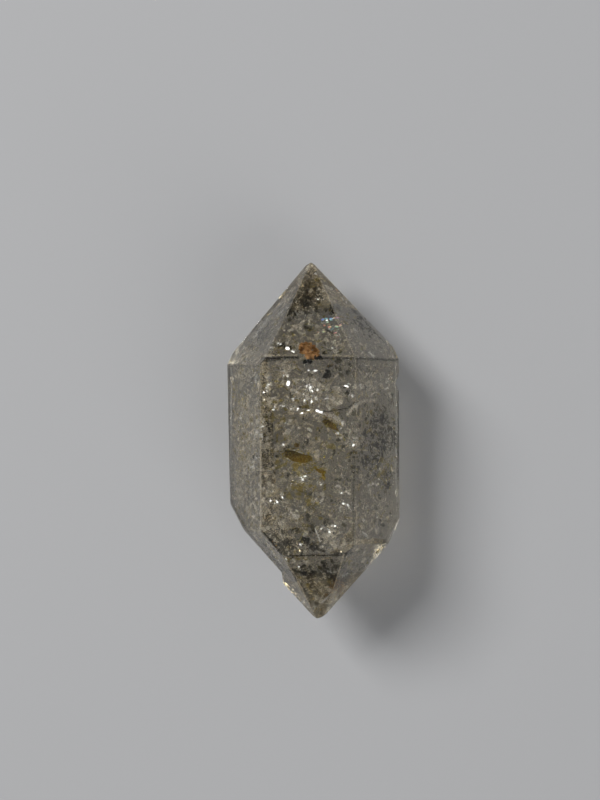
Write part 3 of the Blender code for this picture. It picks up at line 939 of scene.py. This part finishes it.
def make_veils():
    """Healed fractures: gently curved sheets, each a lace of clear flakes that lie along it."""
    rng = np.random.default_rng(VEIL_SEED)
    centres = random_inside(VEIL_COUNT, rng, VEIL_CENTRE_ROOM * MM)
    places, normals = [], []
    for centre in centres:
        normal = rng.normal(size=3)
        normal /= np.linalg.norm(normal)
        across = np.cross(normal, rng.normal(size=3))
        across /= np.linalg.norm(across)
        along = np.cross(normal, across)
        radius = rng.uniform(*VEIL_RADIUS) * MM
        reach = np.sqrt(rng.random(VEIL_FLAKES)) * radius
        way = rng.uniform(0.0, math.tau, VEIL_FLAKES)
        a, b = reach * np.cos(way), reach * np.sin(way) * rng.uniform(*VEIL_WIDTHS)
        wave_a, wave_b = rng.uniform(*VEIL_WAVES, 2) / radius
        rise = VEIL_RISE * radius
        bulge = rise * np.sin(wave_a * a) * np.cos(wave_b * b)
        slope_a = rise * wave_a * np.cos(wave_a * a) * np.cos(wave_b * b)
        slope_b = -rise * wave_b * np.sin(wave_a * a) * np.sin(wave_b * b)
        spot = centre + np.outer(a, across) + np.outer(b, along) + np.outer(bulge, normal)
        lean = normal - np.outer(slope_a, across) - np.outer(slope_b, along)
        places.append(spot)
        normals.append(lean + rng.normal(size=(VEIL_FLAKES, 3)) * FLAKE_JITTER)
    places, normals = np.concatenate(places), np.concatenate(normals)
    keep = depths(places) > VEIL_ROOM * MM
    places, normals = places[keep], normals[keep]
    count = len(places)
    size = grown(FLAKE_SIZE, rng.random(count) ** FLAKE_SIZE_POWER)
    mesh = plates_mesh("clear_flakes", places, normals, size,
                       size * rng.uniform(*FLAKE_WIDTHS, count), size * FLAKE_THICKNESS, rng,
                       FLAKE_SIDES, FLAKE_RAGGED)
    add_inclusion("clear_flakes", mesh, flake_material())


def joined(groups):
    """The places of all groups that hold any, in one array."""
    return np.concatenate([group for group in groups if len(group)])


def make_clouds():
    """Clouds and lines of grains and films where the photo shows them."""
    # The white, pale and dark lines also hold painted glints, highlights and shade
    kinds = (("white", (), WHITE_LINES_AND_PAINTED_GLINTS, WHITE, "veil"),
             ("pale", PALE_CLOUDS, PALE_LINES_AND_EDGE_HIGHLIGHTS, PALE, "veil"),
             ("dark", DARK_CLOUDS, DARK_LINES_AND_EDGE_SHADE, DARK, "dark_inclusion"),
             ("black", BLACK_CLOUDS, (), BLACK, "dark_inclusion"),
             ("olive", OLIVE_CLOUDS, OLIVE_LINES, OLIVE, "iron_stain"),
             ("amber", AMBER_CLOUDS, (), AMBER, "iron_stain"),
             ("brown", BROWN_CLOUDS, (), BROWN, "iron_stain"))
    for seed, (kind, clouds, lines, tones, slot) in enumerate(kinds, CLOUD_SEED):
        rng = np.random.default_rng(seed)
        cover = FINE_COVER / (FILM_GRAINS if kind in FILMS else 1.0)
        groups = [cloud_points(cloud, rng, cover) for cloud in clouds]
        groups += [line_points(line, rng) for line in lines]
        add_grains(kind + "_grains", joined(groups), rng, tones)
        if kind in FILMS:
            groups = [cloud_points(cloud, rng, FILM_COVER / FILM_LAYERS) for cloud in clouds]
            add_films(kind + "_films", joined(groups), rng, kind)


def mirror_tilt(normal):
    """The way a flat must face, behind a face, to mirror a light of the studio to the camera."""
    key, fill = KEY_PLACE.normalized(), FILL_PLACE.normalized()
    lamp = key if normal.dot(key) > KEY_COSINE else fill
    light = -bend(-lamp, normal, 1.0 / QUARTZ_IOR)
    eye = -bend(-CAMERA_PLACE.normalized(), normal, 1.0 / QUARTZ_IOR)
    return (light + eye).normalized()


def placed_plates(name, marks, rng, jitter, sides):
    """Flat plates at the given pixels, turned so that the camera sees a light in them."""
    flats = []
    for u, v, depth, width, height in marks:
        place, face = inside(u, v, GLINT_SHARE * depth)
        if place is not None:
            flats.append((place, mirror_tilt(face), width / 2 / PIXELS_PER_MM * MM,
                          height / 2 / PIXELS_PER_MM * MM,
                          math.pi / 2 + rng.normal() * GLINT_SPIN))
    places, normals, long, short, spin = (np.array(values) for values in zip(*flats))
    room = GLINT_ROOM * np.maximum(depths(places), 0.0) + LEAST_GLINT
    long, short = np.minimum(long, room), np.minimum(short, room)
    thick = np.minimum(long, short) * GLINT_THICKNESS
    normals = normals + rng.normal(size=(len(places), 3)) * jitter
    return plates_mesh(name, places, normals, long, short, thick, rng, sides, GLINT_RAGGED, spin)


def with_splinters(marks, rng):
    """Adds a few tiny flats beside each one, as fractures show in clusters."""
    least_width, least_height = LEAST_SPLINTER
    splinters = []
    for u, v, depth, width, height in marks:
        for _ in range(SPLINTER_COUNT):
            share = rng.uniform(*SPLINTER_SHARES)
            splinters.append((u + rng.normal() * width, v + rng.normal() * height, depth,
                              max(least_width, width * share), max(least_height, height * share)))
    return list(marks) + splinters


def make_glints():
    """Small bright fractures that mirror the lights, and coloured painted glints near the top."""
    rng = np.random.default_rng(GLINT_SEED)
    mesh = placed_plates("bright_fractures", with_splinters(GLINTS, rng), rng, GLINT_JITTER,
                         GLINT_SIDES)
    material = grain_material("bright_fracture", GLINT_TONES, GLINT_ROUGHNESS, 1.0)
    add_inclusion("bright_fractures", mesh, material)
    marks = [(u, v, RAINBOW_DEPTH, RAINBOW_GROWTH * width, RAINBOW_GROWTH * height)
             for u, v, width, height in RAINBOW]
    mesh = placed_plates("rainbow_fractures", with_splinters(marks, rng), rng, RAINBOW_JITTER,
                         RAINBOW_SIDES)
    add_inclusion("rainbow_fractures", mesh, rainbow_material())


def stain_mesh(name, outlines, rng):
    """Thin closed films with the given outlines in pixels, a little wrinkled."""
    left_depth, right_depth = STAIN_DEPTH
    down = Vector((0.0, 0.0, STAIN_THICKNESS * MM))
    work = bmesh.new()
    for outline in outlines:
        upper, lower = [], []
        low_u = min(u for u, _ in outline)
        span = max(u for u, _ in outline) - low_u
        for u, v in outline:
            share = (u - low_u) / span
            depth = left_depth + (right_depth - left_depth) * share
            place, _ = inside(u, v, depth + STAIN_STRAY * rng.normal())
            upper.append(work.verts.new(place))
            lower.append(work.verts.new(place - down))
        work.faces.new(reversed(upper))
        work.faces.new(lower)
        for k in range(len(outline)):
            after = (k + 1) % len(outline)
            work.faces.new((upper[k], upper[after], lower[after], lower[k]))
    bmesh.ops.recalc_face_normals(work, faces=work.faces)
    fine_faces(work, STAIN_STEP * MM)
    for vert in work.verts:
        vert.co.z += STAIN_WRINKLE * MM * noise.noise(vert.co / (STAIN_WRINKLE_SIZE * MM))
    return finished_mesh(work, name)


def make_stains():
    """Films of iron oxide in fractures: the amber stain with its tails, and two brown spots."""
    rng = np.random.default_rng(STAIN_SEED)
    mesh = stain_mesh("amber_film", (AMBER_OUTLINE, AMBER_TAIL, AMBER_DROP), rng)
    add_inclusion("amber_film", mesh, amber_material())
    mesh = stain_mesh("brown_film", (BROWN_STAIN, BROWN_SPOT), rng)
    material = film_material("brown_film", BROWN_TONES, STAIN_PASSING)
    add_inclusion("brown_film", mesh, material)


def lumps_mesh(name, lumps, rng):
    """One mesh of small rough lumps: place, and half sizes across, along and in height."""
    work = bmesh.new()
    for place, sizes in lumps:
        ball = bmesh.ops.create_icosphere(work, subdivisions=LUMP_DETAIL, radius=1.0)
        shift = Vector(rng.uniform(*LUMP_SHIFTS, 3))
        for vert in ball["verts"]:
            rough = 1.0 + LUMP_ROUGHNESS * noise.noise(vert.co * LUMP_RATE + shift)
            vert.co = place + Vector([vert.co[k] * rough * sizes[k] for k in range(3)])
    return finished_mesh(work, name)


def make_crust():
    """The rusty crust at the top edge of the front face, and the dark lumps beside it."""
    rng = np.random.default_rng(CRUST_SEED)
    middle_u, middle_v = CRUST_MIDDLE
    reach_u, reach_v = CRUST_REACH
    lumps = []
    for _ in range(CRUST_LUMPS):
        reach, way = rng.random() ** CRUST_GATHER, rng.uniform(0.0, math.tau)
        u = middle_u + reach_u * reach * math.cos(way)
        v = middle_v + reach_v * reach * math.sin(way) + CRUST_SLOPE * (u - middle_u)
        size = grown(CRUST_SIZE, rng.random())
        place, _ = inside(u, v, rng.uniform(*CRUST_DEPTH))
        lumps.append((place, (size, size * rng.uniform(*CRUST_WIDTHS), size * CRUST_HEIGHT)))
    material = grain_material("rusty_crust", CRUST_TONES, CRUST_ROUGHNESS, 0.0, CRUST_SCALE)
    add_inclusion("rusty_crust", lumps_mesh("rusty_crust", lumps, rng), material)
    lumps = []
    for u, v, half_u, half_v, count in DARK_LUMPS:
        for _ in range(count):
            aside, down = half_u * rng.uniform(-1.0, 1.0), half_v * rng.uniform(-1.0, 1.0)
            place, _ = inside(u + aside, v + down, DARK_LUMP_DEPTH)
            size = rng.uniform(*DARK_LUMP_SIZE) * MM
            lumps.append((place, [size * share for share in DARK_LUMP_SHAPE]))
    material = grain_material("dark_lumps", BLACK, DARK_LUMP_ROUGHNESS)
    add_inclusion("dark_lumps", lumps_mesh("dark_lumps", lumps, rng), material)


def make_floor():
    """A plain round floor that curves up into a low wall far away on every side."""
    work = bmesh.new()
    profile = [Vector((0.0, 0.0, 0.0))]
    for step in range(FLOOR_BEND_STEPS + 1):
        angle = math.radians(90.0 * step / FLOOR_BEND_STEPS)
        profile.append(Vector((FLOOR_RADIUS - FLOOR_BEND + FLOOR_BEND * math.sin(angle), 0.0,
                               FLOOR_BEND - FLOOR_BEND * math.cos(angle))))
    profile.append(Vector((FLOOR_RADIUS, 0.0, FLOOR_BEND + FLOOR_WALL)))
    verts = [work.verts.new(point - Vector((0.0, 0.0, FLOOR_GAP))) for point in profile]
    edges = [work.edges.new(pair) for pair in zip(verts, verts[1:])]
    bmesh.ops.spin(work, geom=verts + edges, cent=(0, 0, 0), axis=(0, 0, 1),
                   angle=math.tau, steps=FLOOR_SIDES)
    bmesh.ops.remove_doubles(work, verts=work.verts, dist=WELD)
    bmesh.ops.recalc_face_normals(work, faces=work.faces)
    mesh = finished_mesh(work, "studio_floor")
    mesh.materials.append(floor_material())
    mesh.shade_smooth()
    floor = new_object("studio_floor", mesh)


def area_light(name, place, size, power):
    """A light that faces the crystal."""
    data = bpy.data.lights.new(name, "AREA")
    data.shape = "RECTANGLE"
    data.size, data.size_y = size
    data.energy = power
    light = new_object(name, data)
    light.location = place
    light.rotation_mode = "QUATERNION"
    light.rotation_quaternion = (-place).to_track_quat("-Z", "Y")


def make_studio():
    world = bpy.data.worlds.new("soft_room")
    world.use_nodes = True
    background = world.node_tree.nodes["Background"]
    set_inputs(background, {"Color": (*WORLD_COLOUR, 1.0), "Strength": WORLD_STRENGTH})
    bpy.context.scene.world = world
    area_light("key", KEY_PLACE, KEY_SIZE, KEY_POWER)
    area_light("fill", FILL_PLACE, FILL_SIZE, FILL_POWER)


def make_camera():
    data = bpy.data.cameras.new("camera")
    data.sensor_width = SENSOR
    data.lens = LENS
    data.clip_start = 0.001
    data.clip_end = 10.0
    camera = new_object("camera", data)
    turn = Matrix.Rotation(math.radians(CAMERA_TURN), 4, "Y")
    tilt = Matrix.Rotation(math.radians(CAMERA_TILT), 4, "X")
    roll = Matrix.Rotation(math.radians(CAMERA_ROLL), 4, "Z")
    camera.matrix_world = Matrix.Translation(CAMERA_PLACE) @ turn @ tilt @ roll
    bpy.context.scene.camera = camera


def light_paths():
    """Enough bounces for light to cross the crystal and its flakes, and plain colours."""
    scene = bpy.context.scene
    scene.cycles.max_bounces = 64
    scene.cycles.transmission_bounces = 64
    scene.cycles.glossy_bounces = 12
    scene.cycles.diffuse_bounces = 4
    scene.view_settings.view_transform = "Standard"


# What rays are traced into, and what the room for inclusions is measured in
surface = node_surface(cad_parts[CRYSTAL_NODE])


def main():
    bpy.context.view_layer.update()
    make_camera()
    make_studio()
    make_floor()
    make_crystal()
    make_haze()
    make_veils()
    make_clouds()
    make_glints()
    make_stains()
    make_crust()
    light_paths()


main()
